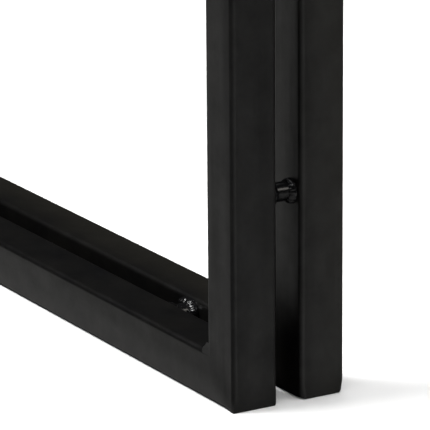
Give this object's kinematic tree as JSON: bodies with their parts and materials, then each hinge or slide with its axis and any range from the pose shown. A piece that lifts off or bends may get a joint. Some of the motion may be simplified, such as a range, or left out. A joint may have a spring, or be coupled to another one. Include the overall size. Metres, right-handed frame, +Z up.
{
  "type": "firewood log rack",
  "caption": "Free-standing steel firewood rack: rectangular frames of mitred square tube, one close behind the other, joined by short welded round bars around an open log bay.",
  "frame": {"origin": "on the ground, in the middle of the footprint, under the gap between the two frames", "axes": "+X to the right along the rails, +Y from the front frame to the rear frame, +Z up along the posts"},
  "size_m": [0.6, 0.063, 0.4],
  "materials": {
    "tube_coat": "satin black powder coat with a fine orange peel",
    "bar_coat": "black powder coat, smoother and glossier on drawn round bar",
    "weld_coat": "black powder coat flowed thick and glossy over weld ripples"
  },
  "bodies": {
    "root": {"front_bottom_rail": "tube_coat", "rear_bottom_rail": "tube_coat", "front_bottom_right_corner_weld": "weld_coat", "rear_bottom_right_corner_weld": "weld_coat", "bottom_bar_1": "bar_coat", "bottom_bar_1_front_weld": "weld_coat", "bottom_bar_1_rear_weld": "weld_coat", "bottom_bar_2": "bar_coat", "bottom_bar_2_front_weld": "weld_coat", "bottom_bar_2_rear_weld": "weld_coat", "front_right_post": "tube_coat", "rear_right_post": "tube_coat", "front_top_right_corner_weld": "weld_coat", "rear_top_right_corner_weld": "weld_coat", "right_bar_1": "bar_coat", "right_bar_1_front_weld": "weld_coat", "right_bar_1_rear_weld": "weld_coat", "right_bar_2": "bar_coat", "right_bar_2_front_weld": "weld_coat", "right_bar_2_rear_weld": "weld_coat", "front_top_rail": "tube_coat", "rear_top_rail": "tube_coat", "front_top_left_corner_weld": "weld_coat", "rear_top_left_corner_weld": "weld_coat", "top_bar_1": "bar_coat", "top_bar_1_front_weld": "weld_coat", "top_bar_1_rear_weld": "weld_coat", "top_bar_2": "bar_coat", "top_bar_2_front_weld": "weld_coat", "top_bar_2_rear_weld": "weld_coat", "front_left_post": "tube_coat", "rear_left_post": "tube_coat", "front_bottom_left_corner_weld": "weld_coat", "rear_bottom_left_corner_weld": "weld_coat", "left_bar_1": "bar_coat", "left_bar_1_front_weld": "weld_coat", "left_bar_1_rear_weld": "weld_coat", "left_bar_2": "bar_coat", "left_bar_2_front_weld": "weld_coat", "left_bar_2_rear_weld": "weld_coat"}
  },
  "joints": []
}
